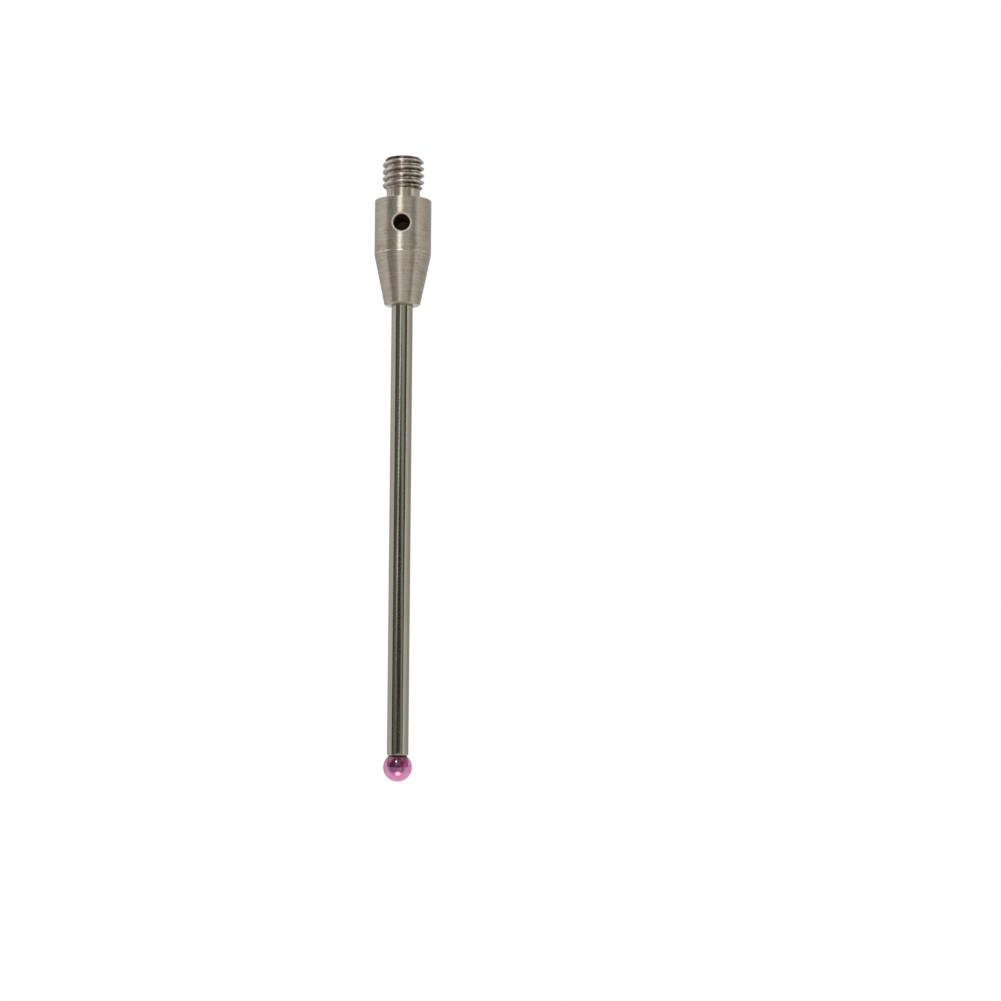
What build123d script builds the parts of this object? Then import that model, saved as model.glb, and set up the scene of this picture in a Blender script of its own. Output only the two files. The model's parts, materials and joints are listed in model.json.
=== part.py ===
from build123d import *

import math
import os

# A straight stylus for a touch probe, in millimetres. A turned steel holder screws into the probe by its stud,
# a ground carbide stem is glued into the holder, and a ruby ball is glued on the stem's spigot.
#
# The origin is the centre of the holder's seat face, which meets the probe. +Z runs up the threaded stud and
# the ball points down along -Z. The cross hole opens towards -Y.

# The threaded stud, a plain cylinder here at the thread's major diameter
STUD_LENGTH = 3.05
STUD_D = 2.95
STUD_TIP_CHAMFER = 0.28
NECK_D = 2.35
NECK_LENGTH = 0.77

# The holder's round body and its cone
BODY_D = 4.0
BODY_LENGTH = 3.9
SEAT_EDGE = 0.03
CONE_LENGTH = 3.6
CONE_END_D = 2.5
CONE_EDGE = 0.07

# The blind cross hole that takes a tightening pin
CROSS_HOLE_D = 1.2
CROSS_HOLE_DROP = 1.9
CROSS_HOLE_BACK_WALL = 0.6
CROSS_HOLE_EDGE = 0.1

# The bore in the cone's end that takes the stem
BORE_WEB = 0.55
DRILL_POINT_ANGLE = 118.0

# The stem
REACH = 40.0
STEM_D = 1.5
STEM_LEAD = 0.1
STEM_END_EDGE = 0.06
STEM_GLUE_FILM = 0.03
STEM_GLUE_CUSHION = 0.1

# The ball, its hole, the spigot in it and the cupped shoulder over it
BALL_D = 2.0
BALL_HOLE_D = 0.84
BALL_HOLE_DEPTH = 1.0
SPIGOT_EDGE = 0.05
BALL_GLUE_FILM = 0.03
BALL_GLUE_CUSHION = 0.05
SHOULDER_GAP = 0.05
SHOULDER_RIM_GAP = 0.08
COLLAR_INSET = 0.02

# How far a cutting tool starts outside the metal
TOOL_RUN_IN = 1.0

# Radii and heights that follow from the sizes above
stud_r = STUD_D / 2
neck_r = NECK_D / 2
body_r = BODY_D / 2
cone_end_r = CONE_END_D / 2
stem_r = STEM_D / 2
ball_r = BALL_D / 2
ball_hole_r = BALL_HOLE_D / 2
cross_hole_r = CROSS_HOLE_D / 2

cone_top_z = -BODY_LENGTH
holder_end_z = cone_top_z - CONE_LENGTH
cone_slope = (body_r - cone_end_r) / CONE_LENGTH
cross_hole_z = -CROSS_HOLE_DROP
ball_z = -REACH


def point_height(radius):
    """The height of a drill point of this radius."""
    return radius / math.tan(math.radians(DRILL_POINT_ANGLE / 2))


bore_r = stem_r + STEM_GLUE_FILM
bore_full_z = cross_hole_z - cross_hole_r - BORE_WEB - point_height(bore_r)
bore_depth = bore_full_z - holder_end_z
cross_hole_depth = BODY_D - CROSS_HOLE_BACK_WALL - point_height(cross_hole_r)

stem_top_z = bore_full_z - STEM_GLUE_CUSHION
ball_rim_z = ball_z + math.sqrt(ball_r**2 - ball_hole_r**2)
shoulder_z = ball_rim_z + SHOULDER_GAP
shoulder_rim_z = ball_z + math.sqrt(ball_r**2 - (stem_r - STEM_END_EDGE) ** 2) + SHOULDER_RIM_GAP
ball_hole_floor_z = ball_z + ball_r - BALL_HOLE_DEPTH
spigot_end_z = ball_hole_floor_z + BALL_GLUE_CUSHION


def turned(profile):
    """Turn a closed outline of (radius, height) points about the Z axis."""
    outline = Plane.XZ * Polyline(*profile, close=True)
    return revolve(make_face(outline), axis=Axis.Z)


def drill(radius, depth, run_in):
    """A drill whose mouth plane is at its own origin and whose point looks along its own +Z."""
    return turned(
        [
            (0, -run_in),
            (radius, -run_in),
            (radius, depth),
            (0, depth + point_height(radius)),
        ]
    )


def make_holder():
    """The turned holder: stud, neck, seat, body and cone, with the stem's bore and the cross hole."""
    blank = turned(
        [
            (0, STUD_LENGTH),
            (stud_r - STUD_TIP_CHAMFER, STUD_LENGTH),
            (stud_r, STUD_LENGTH - STUD_TIP_CHAMFER),
            (stud_r, NECK_LENGTH + stud_r - neck_r),
            (neck_r, NECK_LENGTH),
            (neck_r, 0),
            (body_r - SEAT_EDGE, 0),
            (body_r, -SEAT_EDGE),
            (body_r, cone_top_z),
            (cone_end_r + cone_slope * CONE_EDGE, holder_end_z + CONE_EDGE),
            (cone_end_r - CONE_EDGE, holder_end_z),
            (0, holder_end_z),
        ]
    )
    bore = Pos(0, 0, holder_end_z) * drill(bore_r, bore_depth, TOOL_RUN_IN)
    mouth = Plane(origin=(0, -body_r, cross_hole_z), x_dir=(1, 0, 0), z_dir=(0, 1, 0))
    cross_hole = mouth * drill(cross_hole_r, cross_hole_depth, TOOL_RUN_IN)

    bored = blank - bore
    drilled = bored - cross_hole
    rim = new_edges(bored, cross_hole, combined=drilled)
    return chamfer(rim, CROSS_HOLE_EDGE)


def make_stem():
    """The ground stem, with its lead chamfer in the holder and its cupped shoulder and spigot at the ball."""
    spigot_r = ball_hole_r - BALL_GLUE_FILM
    return turned(
        [
            (0, stem_top_z),
            (stem_r - STEM_LEAD, stem_top_z),
            (stem_r, stem_top_z - STEM_LEAD),
            (stem_r, shoulder_rim_z + STEM_END_EDGE),
            (stem_r - STEM_END_EDGE, shoulder_rim_z),
            (spigot_r, shoulder_z),
            (spigot_r, spigot_end_z + SPIGOT_EDGE),
            (spigot_r - SPIGOT_EDGE, spigot_end_z),
            (0, spigot_end_z),
        ]
    )


def make_ball():
    """The ball, with a flat-bottomed hole from its top to its middle."""
    hole = turned(
        [
            (0, ball_hole_floor_z),
            (ball_hole_r, ball_hole_floor_z),
            (ball_hole_r, ball_z + ball_r + TOOL_RUN_IN),
            (0, ball_z + ball_r + TOOL_RUN_IN),
        ]
    )
    return Pos(0, 0, ball_z) * Sphere(ball_r) - hole


def make_ball_adhesive(stem):
    """The glue that fills the ball's hole round the spigot, and its collar under the stem's shoulder."""
    in_hole = turned(
        [
            (0, ball_hole_floor_z),
            (ball_hole_r, ball_hole_floor_z),
            (ball_hole_r, shoulder_z),
            (0, shoulder_z),
        ]
    )
    collar_r = stem_r - STEM_END_EDGE - COLLAR_INSET
    collar = turned(
        [
            (0, ball_z),
            (collar_r, ball_z),
            (collar_r, shoulder_z),
            (0, shoulder_z),
        ]
    )
    collar -= Pos(0, 0, ball_z) * Sphere(ball_r)
    return in_hole + collar - stem


def make_stem_adhesive(stem):
    """The glue that fills the holder's bore round and above the stem."""
    filled_bore = Pos(0, 0, holder_end_z) * drill(bore_r, bore_depth, 0)
    return filled_bore - stem


stem = make_stem()
pieces = {
    "holder": make_holder(),
    "stem": stem,
    "ball": make_ball(),
    "ball_adhesive": make_ball_adhesive(stem),
    "stem_adhesive": make_stem_adhesive(stem),
}

os.makedirs("parts", exist_ok=True)
for name, piece in pieces.items():
    piece.label = name
    export_step(piece, f"parts/{name}.step")
    print(f"{name}: {len(piece.solids())} solid, {piece.volume:.4f} mm3")
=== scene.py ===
# %% [markdown]
# This lesson dresses a small measuring stylus. A probe on a measuring machine holds it by its thread and
# touches the work with the ruby ball at its lower end. It is 44 mm long, so every size below is in
# millimetres, and becomes Blender's metres only when a mesh is made.
#
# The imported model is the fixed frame. It says where each piece is and how large it is. The finer surfaces
# take their sizes from it, so nothing has to be fitted by eye.

import json
import math

import bmesh
import bpy
import numpy as np
from mathutils import Matrix, Vector


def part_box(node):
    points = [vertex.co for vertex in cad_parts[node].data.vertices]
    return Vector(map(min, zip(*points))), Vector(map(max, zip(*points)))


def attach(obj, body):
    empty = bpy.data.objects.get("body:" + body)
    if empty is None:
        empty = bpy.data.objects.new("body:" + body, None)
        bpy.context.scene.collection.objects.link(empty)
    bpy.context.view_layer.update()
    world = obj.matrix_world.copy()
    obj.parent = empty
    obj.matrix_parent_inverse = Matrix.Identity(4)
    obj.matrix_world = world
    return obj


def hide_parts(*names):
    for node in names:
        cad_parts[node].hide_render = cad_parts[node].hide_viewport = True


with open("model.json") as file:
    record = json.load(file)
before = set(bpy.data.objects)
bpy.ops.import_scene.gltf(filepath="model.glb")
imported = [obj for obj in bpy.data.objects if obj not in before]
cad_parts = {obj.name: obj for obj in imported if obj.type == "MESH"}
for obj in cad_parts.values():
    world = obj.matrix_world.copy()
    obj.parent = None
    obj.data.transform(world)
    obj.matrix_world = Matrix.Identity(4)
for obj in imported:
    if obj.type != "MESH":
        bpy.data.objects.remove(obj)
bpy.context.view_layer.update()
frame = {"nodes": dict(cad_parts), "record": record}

scene = bpy.context.scene
MM = 0.001

# %% [markdown]
# Most sizes come from the frame: a box gives the outside of a piece, and the record's mounts give the
# thread and the cross hole. What neither can tell, such as a chamfer, is a named value.

# %% Read the sizes of the pieces
def box_in_mm(node):
    """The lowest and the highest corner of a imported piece, in millimetres."""
    low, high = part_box(node)
    return np.array(low) / MM, np.array(high) / MM


holder_low, holder_high = box_in_mm("holder")
stem_low, stem_high = box_in_mm("stem")
ball_low, ball_high = box_in_mm("ball")
collar_low, collar_high = box_in_mm("ball_adhesive")
bore_glue_high = box_in_mm("stem_adhesive")[1]
mounts = {mount["name"]: mount for mount in frame["record"]["mounts"]}

BODY_R = holder_high[0]
TIP_Z = holder_high[2]
HOLDER_END_Z = holder_low[2]
STEM_R = stem_high[0]
STEM_TOP_Z = stem_high[2]
SPIGOT_END_Z = stem_low[2]
BALL_R = ball_high[0]
BALL_Z = ball_low[2] + BALL_R
COLLAR_R = collar_high[0]
SHOULDER_Z = collar_high[2]
BORE_R = bore_glue_high[0]
BORE_POINT_Z = bore_glue_high[2]
THREAD_R = mounts["thread"]["dims"]["r_mm"]
HOLE_R = mounts["cross_hole"]["dims"]["r_mm"]
HOLE_Z = mounts["cross_hole"]["pos_m"][2] / MM
print(f"body {2 * BODY_R:.2f}, stem {2 * STEM_R:.2f}, ball {2 * BALL_R:.2f} mm, reach {-BALL_Z:.2f} mm")

# %% Name the lesser sizes
TIP_CHAMFER = 0.28
NECK_R = 1.175
NECK_LENGTH = 0.77
SEAT_EDGE = 0.03
CONE_TOP_Z = -3.9
CONE_END_R = 1.25
CONE_EDGE = 0.07
HOLE_EDGE = 0.1
HOLE_BACK_WALL = 0.6
DRILL_POINT_ANGLE = math.radians(118)
STEM_LEAD = 0.1
STEM_END_EDGE = 0.06
BALL_HOLE_R = 0.42
SHOULDER_RIM_GAP = 0.08
SPIGOT_R = 0.39
SPIGOT_EDGE = 0.05

PITCH = 0.5
PITCH_R = 1.3375
ROOT_R = 1.19
CREST_ROUNDING = 0.02
ROOT_ROUNDING = 0.025
print(f"thread {THREAD_R - ROOT_R:.3f} mm deep, pitch {PITCH} mm")

# %% [markdown]
# Nearly everything here was turned on a lathe, so a piece is an outline that runs round an axis. The
# outline is a list of corners. Each gets a small arc, because no real edge is perfectly sharp, and the arc
# catches the light. Long runs are divided, so that the shading of an edge stays near it.
#
# The outline runs with the metal on its right-hand side, from the top of the axis down the outside. Then
# every face of the turned surface looks outwards by itself.

# %% Outlines with rounded corners
ARC_STEPS = 6
LONGEST_RUN = 0.3


def rounded(corners):
    """An outline through (radius, height, rounding) corners.

    A corner of rounding q becomes an arc of radius q that touches both sides. It starts and ends away from
    the corner by q divided by the tangent of half the corner's angle.
    """
    points = [np.array(corners[0][:2], float)]
    for before, corner, after in zip(corners, corners[1:], corners[2:]):
        here = np.array(corner[:2], float)
        if corner[2] == 0:
            points.append(here)
            continue
        back = np.array(before[:2]) - here
        on = np.array(after[:2]) - here
        back /= np.linalg.norm(back)
        on /= np.linalg.norm(on)
        half = math.acos(np.clip(back @ on, -1, 1)) / 2
        middle = (back + on) / np.linalg.norm(back + on)
        centre = here + middle * corner[2] / math.sin(half)
        start = here + back * corner[2] / math.tan(half) - centre
        end = here + on * corner[2] / math.tan(half) - centre
        sweep = math.pi - 2 * half
        share = np.linspace(0, 1, ARC_STEPS + 1)[:, None]
        arc = (np.sin((1 - share) * sweep) * start + np.sin(share * sweep) * end) / math.sin(sweep)
        points.extend(centre + arc)
    points.append(np.array(corners[-1][:2], float))
    return divided(np.array(points))


def divided(points):
    """The same outline with each run longer than LONGEST_RUN cut into equal shares."""
    runs = []
    for start, end in zip(points, points[1:]):
        count = max(1, math.ceil(np.linalg.norm(end - start) / LONGEST_RUN))
        runs.append(start + (end - start) * np.arange(count)[:, None] / count)
    return np.concatenate([*runs, points[-1:]])


# %% From an outline to a surface
def at(radius, angle, height):
    """Points on a circle round the Z axis: x is radius times sine, y is minus radius times cosine.

    So angle 0 looks along -Y, where the cross hole opens, and a quarter turn on is +X.
    """
    radius, angle, height = np.broadcast_arrays(radius, angle, height)
    return np.stack([radius * np.sin(angle), -radius * np.cos(angle), height], axis=-1)


def grid_surface(points, closed):
    """The (points, faces) of a grid, closed round if its last column meets its first."""
    rows, columns = points.shape[:2]
    i, j = np.meshgrid(np.arange(rows - 1), np.arange(columns if closed else columns - 1), indexing="ij")
    after = (j + 1) % columns
    corners = [i * columns + j, (i + 1) * columns + j, (i + 1) * columns + after, i * columns + after]
    return points.reshape(-1, 3), np.stack(corners, axis=-1).reshape(-1, 4)


def turned(outline, columns):
    """The surface of an outline carried round the axis."""
    angles = np.arange(columns) * math.tau / columns
    return grid_surface(at(outline[:, :1], angles[None, :], outline[:, 1:]), True)


# %% From surfaces to a piece
SAME_POINT = 0.0002
SHARP_ANGLE = math.radians(30)


def add_object(name, data):
    """A new object in the scene, at the origin."""
    thing = bpy.data.objects.new(name, data)
    scene.collection.objects.link(thing)
    return thing


def make_piece(name, surfaces, finishes):
    """One object from several (points, faces, finish number) surfaces that share their rims.

    Points that lie together are merged, which closes the seams between surfaces and the poles on the axis.
    """
    starts = np.cumsum([0] + [len(points) for points, faces, finish in surfaces])
    points = np.concatenate([points for points, faces, finish in surfaces])
    faces = np.concatenate([faces + start for (_, faces, _), start in zip(surfaces, starts)])
    finish_numbers = np.concatenate([np.full(len(faces), finish) for _, faces, finish in surfaces])

    mesh = bpy.data.meshes.new(name)
    mesh.from_pydata((points * MM).tolist(), [], faces.tolist())
    for finish in finishes:
        mesh.materials.append(finish)
    mesh.polygons.foreach_set("material_index", finish_numbers.astype(np.int32))

    work = bmesh.new()
    work.from_mesh(mesh)
    bmesh.ops.remove_doubles(work, verts=work.verts, dist=SAME_POINT * MM)
    open_edges = sum(not edge.is_manifold for edge in work.edges)
    work.to_mesh(mesh)
    work.free()
    mesh.shade_smooth()
    mesh.set_sharp_from_angle(angle=SHARP_ANGLE)

    print(f"{name}: {len(mesh.vertices)} points, {len(mesh.polygons)} faces, {open_edges} open edges")
    return add_object(name, mesh)


# %% [markdown]
# Now the finishes. Colours are written as sRGB hex values, as a paint chart gives them, and one function
# turns them to the linear values that light is reckoned in. Another adds a node with its settings and
# inputs, so that each material reads like a list of what was done to the metal.
#
# Some inputs have numbers. Map Range turns the value at 0 from the range at 1 and 2 to the range at 3 and
# 4, or to 0 and 1 if there is none. A noise lies mostly between 0.3 and 0.7, so 1 and 2 say where on it a
# mark begins and where it is full, and 3 and 4 how strong it gets. Mix takes the share of its second colour
# at 0 and the colours at 6 and 7, and its result is output 2.

# %% Colour and node helpers
def linear(colour):
    """An sRGB hex value as linear red, green, blue and a full alpha.

    Up to 0.04045 a share s is divided by 12.92. Above, it is ((s + 0.055) / 1.055) to the power 2.4.
    """
    shares = [int(colour[i : i + 2], 16) / 255 for i in (1, 3, 5)]
    return [s / 12.92 if s <= 0.04045 else ((s + 0.055) / 1.055) ** 2.4 for s in shares] + [1.0]


def add_node(tree, kind, inputs=None, **settings):
    """Add a node of this kind with these settings, and give each input its value or its link.

    A node given for an input stands for its own first output, and a hex value for its linear colour.
    """
    node = tree.nodes.new("ShaderNode" + kind)
    for name, value in settings.items():
        setattr(node, name, value)
    for name, value in (inputs or {}).items():
        if isinstance(value, str):
            value = linear(value)
        if isinstance(value, bpy.types.Node):
            value = value.outputs[0]
        if isinstance(value, bpy.types.NodeSocket):
            tree.links.new(value, node.inputs[name])
        else:
            node.inputs[name].default_value = value
    return node


def new_material(name):
    """An empty material and its node tree."""
    material = bpy.data.materials.new(name)
    material.use_nodes = True
    material.node_tree.nodes.clear()
    return material, material.node_tree


def make_material(name, recipe, *choices):
    """A material by a recipe, a function that adds nodes and gives back what goes to the output.

    A recipe gets the node tree and the place of each point on its object, in metres.
    """
    material, tree = new_material(name)
    place = add_node(tree, "TexCoord").outputs["Object"]
    add_node(tree, "OutputMaterial", recipe(tree, place, *choices))
    return material


PER_MM = 1 / MM

# %% [markdown]
# The holder is stainless steel, left as the tool cut it. Each turn leaves a groove too fine to see, but
# together the grooves spread a reflection up and down and hardly sideways. So a lamp shows on the body as
# one long soft line, while its sides stay crisp. Blender calls this anisotropy. The tangent runs round the
# axis, and a quarter turn of it sets the highlight upright.
#
# The feed marks are 0.06 mm apart in truth and would not show at this size, so they are drawn at 0.1 mm.
# Handling has left brown and greenish specks, and a dried film of cutting oil scatters a little light, so
# the metal isn't quite a mirror even where the studio is black.

# %% Turned stainless steel
STEEL_LIGHT = "#cec3b3"
STEEL_WORN = "#b7ae9f"
STEEL_WARM = "#a08468"
STEEL_COOL = "#aeb09e"
FEED_MARK = 0.1
STREAK_LENGTH = 1.6
SPECK_SIZE = 0.16
STAIN_SIZE = 1.1
OIL_FILM = 0.2
GRAIN_DEPTH = 0.007
MARK_DEPTH = 0.01
MARK_STRENGTH = 0.35
STEEL_SMOOTH, STEEL_ROUGH = 0.32, 0.40
STEEL_STRETCH = 0.93
UPRIGHT = 0.25


def turned_steel(tree, place):
    """Stainless steel with feed marks round it, brown and greenish specks and a long soft highlight."""
    along = add_node(tree, "Mapping", {"Vector": place, "Scale": (
        PER_MM / STREAK_LENGTH, PER_MM / STREAK_LENGTH, PER_MM / FEED_MARK)})
    marks = add_node(tree, "TexNoise", {"Vector": along, "Scale": 1.0, "Detail": 2.0})
    worn = add_node(tree, "MapRange", {0: marks, 1: 0.35, 2: 0.65})
    blotch = add_node(tree, "TexNoise", {
        "Vector": place, "Scale": PER_MM / STAIN_SIZE, "Detail": 2.0, "Roughness": 0.6})
    speck = add_node(tree, "TexNoise", {
        "Vector": place, "Scale": PER_MM / SPECK_SIZE, "Detail": 2.0, "Roughness": 0.7})
    both = add_node(tree, "Math", {0: blotch, 1: speck}, operation="ADD")
    warm = add_node(tree, "MapRange", {0: both, 1: 1.02, 2: 1.25, 3: 0.0, 4: 0.6})
    cool = add_node(tree, "MapRange", {0: both, 1: 0.95, 2: 0.75, 3: 0.0, 4: 0.7})
    plain = add_node(tree, "Mix", {0: worn, 6: STEEL_LIGHT, 7: STEEL_WORN}, data_type="RGBA")
    first = add_node(tree, "Mix", {0: warm, 6: plain.outputs[2], 7: STEEL_WARM}, data_type="RGBA")
    second = add_node(tree, "Mix", {0: cool, 6: first.outputs[2], 7: STEEL_COOL}, data_type="RGBA")
    rough = add_node(tree, "MapRange", {0: speck, 1: 0.3, 2: 0.7, 3: STEEL_SMOOTH, 4: STEEL_ROUGH})
    grain = add_node(tree, "Bump", {"Height": speck, "Strength": 1.0, "Distance": GRAIN_DEPTH * MM})
    relief = add_node(tree, "Bump", {
        "Height": marks, "Strength": MARK_STRENGTH, "Distance": MARK_DEPTH * MM, "Normal": grain})
    tangent = add_node(tree, "Tangent", direction_type="RADIAL", axis="Z")
    surface = add_node(tree, "BsdfPrincipled", {
        "Base Color": second.outputs[2], "Metallic": 1.0 - OIL_FILM, "Roughness": rough, "Normal": relief,
        "Anisotropic": STEEL_STRETCH, "Anisotropic Rotation": UPRIGHT, "Tangent": tangent})
    return {"Surface": surface}


# %% [markdown]
# The thread and the neck were cut with a pointed tool that went round and round, so they spread a
# reflection up and down as the body does. The root is as bright as the tool left it, and the crest is
# rubbed a little duller by the probe's own thread. Deep down on the flanks the colour is dark brown, most
# of all on the right: this is painted shade of the grooves, with real oil and dust in random smears. A
# flank is known by its normal, which leans far along the axis, and its depth by the distance to the axis.
# The chamfer at the tip is coloured a dark reddish brown.

# %% Cut thread and neck, with painted shade and oil on the flanks
THREAD_ROOT = "#f0e6d8"
THREAD_CREST = "#e6dccf"
# The flanks' dark brown is mostly painted shade of the grooves, and partly real oil in smears.
FLANK_SHADE_AND_OIL = "#54412d"
NECK_STEEL = "#d4c9ba"
TIP_CHAMFER_TINT = "#553431"
SHADE_AND_OIL_PATCH = 0.5
SHADE_RAMP_LEFT = -0.3
SHADE_RAMP_RIGHT = 0.6
LEFT_SIDE_SHADE = 0.72
CREST_DEPTH_SHARE = 0.2
LEAN_BEGINS = 0.3
LEAN_FULL = 0.75
THREAD_FILM = 0.15
NECK_FILM = 0.12
CUT_ROUGHNESS = 0.3
CUT_STRETCH = 0.8


def cut_steel(tree, place, root, film):
    """Stainless steel, dark brown deep down on faces that lean far along the axis: painted shade, with oil
    smears.
    """
    lean = add_node(tree, "SeparateXYZ", {"Vector": place.node.outputs["Normal"]})
    steep = add_node(tree, "Math", {0: lean.outputs["Z"]}, operation="ABSOLUTE")
    flank = add_node(tree, "MapRange", {0: steep, 1: LEAN_BEGINS, 2: LEAN_FULL})
    across = add_node(tree, "VectorMath", {0: place, 1: (1.0, 1.0, 0.0)}, operation="MULTIPLY")
    radius = add_node(tree, "VectorMath", {0: across}, operation="LENGTH")
    depth = add_node(tree, "MapRange", {
        0: radius.outputs["Value"], 1: THREAD_R * MM, 2: PITCH_R * MM, 3: CREST_DEPTH_SHARE, 4: 1.0})
    bare = add_node(tree, "Mix", {0: depth, 6: THREAD_CREST, 7: root}, data_type="RGBA")
    patch = add_node(tree, "TexNoise", {"Vector": place, "Scale": PER_MM / SHADE_AND_OIL_PATCH, "Detail": 3.0})
    spread = add_node(tree, "MapRange", {0: patch, 1: 0.35, 2: 0.65, 3: 0.6, 4: 1.0})
    apart = add_node(tree, "SeparateXYZ", {"Vector": place})
    # Painted shade: darkest deep on the flanks, and more towards +X, the right-hand side.
    side = add_node(tree, "MapRange", {
        0: apart.outputs["X"], 1: SHADE_RAMP_LEFT * MM, 2: SHADE_RAMP_RIGHT * MM, 3: LEFT_SIDE_SHADE, 4: 1.0})
    deep = add_node(tree, "Math", {0: flank, 1: depth}, operation="MULTIPLY")
    lying = add_node(tree, "Math", {0: spread, 1: side}, operation="MULTIPLY")
    groove_shade = add_node(tree, "Math", {0: deep, 1: lying}, operation="MULTIPLY")
    smear = add_node(tree, "MapRange", {0: patch, 1: 0.5, 2: 0.7, 3: 0.0, 4: 0.5})
    shade_and_smear = add_node(tree, "Math", {0: groove_shade, 1: smear}, operation="MAXIMUM")
    darkened = add_node(tree, "Mix", {0: shade_and_smear, 6: bare.outputs[2], 7: FLANK_SHADE_AND_OIL}, data_type="RGBA")
    # The chamfer at the tip is coloured dark reddish brown.
    tip = add_node(tree, "MapRange", {
        0: apart.outputs["Z"], 1: (TIP_Z - TIP_CHAMFER) * MM, 2: (TIP_Z - 0.8 * TIP_CHAMFER) * MM,
        3: 0.0, 4: 0.85})
    colour = add_node(tree, "Mix", {0: tip, 6: darkened.outputs[2], 7: TIP_CHAMFER_TINT}, data_type="RGBA")
    tangent = add_node(tree, "Tangent", direction_type="RADIAL", axis="Z")
    surface = add_node(tree, "BsdfPrincipled", {
        "Base Color": colour.outputs[2], "Metallic": 1.0 - film, "Roughness": CUT_ROUGHNESS,
        "Anisotropic": CUT_STRETCH, "Anisotropic Rotation": UPRIGHT, "Tangent": tangent})
    return {"Surface": surface}


# %% [markdown]
# The countersink round the cross hole is a thin ring, rubbed by the pin of the tightening key. It is
# scratched, and lighter and more matt than the body: real rubbing, and a painted highlight that keeps it
# bright from every side. The scratches are about 0.01 mm wide in truth and would not show, so they are
# drawn at 0.06 mm.

# %% Rubbed edge of the hole, with a painted highlight
# The ring's light colour is partly real rubbing and partly a painted highlight.
RUBBED_EDGE_HIGHLIGHT = "#eae1d3"
RUBBED_EDGE_WORN = "#cfc5b6"
EDGE_SCRATCH = 0.06
EDGE_METAL = 0.4
EDGE_SMOOTH, EDGE_ROUGH = 0.4, 0.52


def rubbed_edge_and_highlight(tree, place):
    """Light, partly matt steel with small scratches in all directions, which scatter the light evenly: a
    painted highlight on real rubbing.
    """
    scratches = add_node(tree, "TexNoise", {
        "Vector": place, "Scale": PER_MM / EDGE_SCRATCH, "Detail": 3.0, "Distortion": 1.5})
    worn = add_node(tree, "MapRange", {0: scratches, 1: 0.4, 2: 0.6})
    colour = add_node(tree, "Mix", {0: worn, 6: RUBBED_EDGE_HIGHLIGHT, 7: RUBBED_EDGE_WORN}, data_type="RGBA")
    rough = add_node(tree, "MapRange", {0: worn, 3: EDGE_SMOOTH, 4: EDGE_ROUGH})
    surface = add_node(tree, "BsdfPrincipled", {
        "Base Color": colour.outputs[2], "Metallic": EDGE_METAL, "Roughness": rough})
    return {"Surface": surface}


# %% [markdown]
# Inside the cross hole the drill left a rougher wall that is never wiped, so it is darker and duller.

# %% Drilled hole
HOLE_STEEL = "#a99f91"
HOLE_DIRT = "#7d7060"
DRILL_MARK = 0.12
DRILL_DEPTH = 0.02
DRILL_STRENGTH = 0.35
HOLE_SMOOTH, HOLE_ROUGH = 0.4, 0.5


def drilled_steel(tree, place):
    """Dark, dull steel with drill marks round the hole, which runs along Y."""
    along = add_node(tree, "Mapping", {"Vector": place, "Scale": (PER_MM, PER_MM / DRILL_MARK, PER_MM)})
    marks = add_node(tree, "TexNoise", {"Vector": along, "Scale": 1.0, "Detail": 2.0})
    darkened = add_node(tree, "MapRange", {0: marks, 1: 0.45, 2: 0.7, 3: 0.0, 4: 0.8})
    colour = add_node(tree, "Mix", {0: darkened, 6: HOLE_STEEL, 7: HOLE_DIRT}, data_type="RGBA")
    rough = add_node(tree, "MapRange", {0: marks, 1: 0.3, 2: 0.7, 3: HOLE_SMOOTH, 4: HOLE_ROUGH})
    relief = add_node(tree, "Bump", {
        "Height": marks, "Strength": DRILL_STRENGTH, "Distance": DRILL_DEPTH * MM})
    surface = add_node(tree, "BsdfPrincipled", {
        "Base Color": colour.outputs[2], "Metallic": 1.0, "Roughness": rough, "Normal": relief})
    return {"Surface": surface}


# %% [markdown]
# The stem is sintered tungsten carbide, ground between wheels and polished. It is darker and more neutral
# than steel, and smooth enough to mirror the studio as sharp upright bands. A few pores and rubbed spots,
# and long faint streaks, keep it from looking like drawn chrome.

# %% Ground tungsten carbide
CARBIDE = "#bebaa8"
CARBIDE_RUBBED = "#a09c8a"
PORE_SIZE = 0.35
GRINDING_STREAK = 4.0
GRINDING_WIDTH = 0.12
CARBIDE_SMOOTH, CARBIDE_ROUGH = 0.1, 0.3
CARBIDE_STRETCH = 0.3


def ground_carbide(tree, place):
    """Polished carbide with long faint streaks and a few dull pores."""
    along = add_node(tree, "Mapping", {"Vector": place, "Scale": (
        PER_MM / GRINDING_WIDTH, PER_MM / GRINDING_WIDTH, PER_MM / GRINDING_STREAK)})
    streaks = add_node(tree, "TexNoise", {"Vector": along, "Scale": 1.0, "Detail": 2.0})
    pores = add_node(tree, "TexNoise", {
        "Vector": place, "Scale": PER_MM / PORE_SIZE, "Detail": 4.0, "Roughness": 0.7})
    pitted = add_node(tree, "MapRange", {0: pores, 1: 0.66, 2: 0.74})
    worn = add_node(tree, "MapRange", {0: streaks, 1: 0.35, 2: 0.7, 3: 0.0, 4: 0.35})
    either = add_node(tree, "Math", {0: pitted, 1: worn}, operation="MAXIMUM")
    colour = add_node(tree, "Mix", {0: either, 6: CARBIDE, 7: CARBIDE_RUBBED}, data_type="RGBA")
    rough = add_node(tree, "MapRange", {0: either, 3: CARBIDE_SMOOTH, 4: CARBIDE_ROUGH})
    tangent = add_node(tree, "Tangent", direction_type="RADIAL", axis="Z")
    surface = add_node(tree, "BsdfPrincipled", {
        "Base Color": colour.outputs[2], "Metallic": 1.0, "Roughness": rough,
        "Anisotropic": CARBIDE_STRETCH, "Anisotropic Rotation": UPRIGHT, "Tangent": tangent})
    return {"Surface": surface}
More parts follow.
